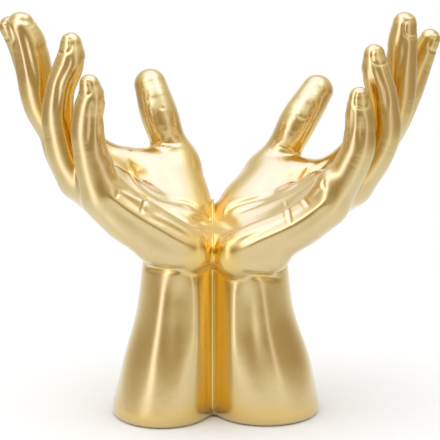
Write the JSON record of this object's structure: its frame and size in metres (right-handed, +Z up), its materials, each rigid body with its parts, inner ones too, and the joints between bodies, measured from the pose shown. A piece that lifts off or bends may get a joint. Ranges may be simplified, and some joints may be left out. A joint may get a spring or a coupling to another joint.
{
  "type": "hand sculpture",
  "caption": "Tabletop ornament: two open cupped hands rising from flared forearms that stand side by side and meet along an upright seam.",
  "frame": {"origin": "bottom centre of the object's box, on the surface that the felt pads rest on", "axes": "+X to the viewer's right across both hands, +Y away from the viewer, +Z up along the forearms"},
  "size_m": [0.2672, 0.0988, 0.2485],
  "materials": {
    "satin_gold": "cast resin under a smooth satin metallic gold coat",
    "dowel_steel": "plain turned steel",
    "plug_rubber": "matt black moulded",
    "pad_felt": "dark pressed felt"
  },
  "bodies": {
    "root": {"left_hand_casting": "satin_gold", "right_hand_casting": "satin_gold", "joint_bead": "satin_gold", "lower_dowel": "dowel_steel", "upper_dowel": "dowel_steel", "left_base_plug": "plug_rubber", "right_base_plug": "plug_rubber", "left_front_pad": "pad_felt", "left_back_pad": "pad_felt", "right_front_pad": "pad_felt", "right_back_pad": "pad_felt"}
  },
  "joints": []
}
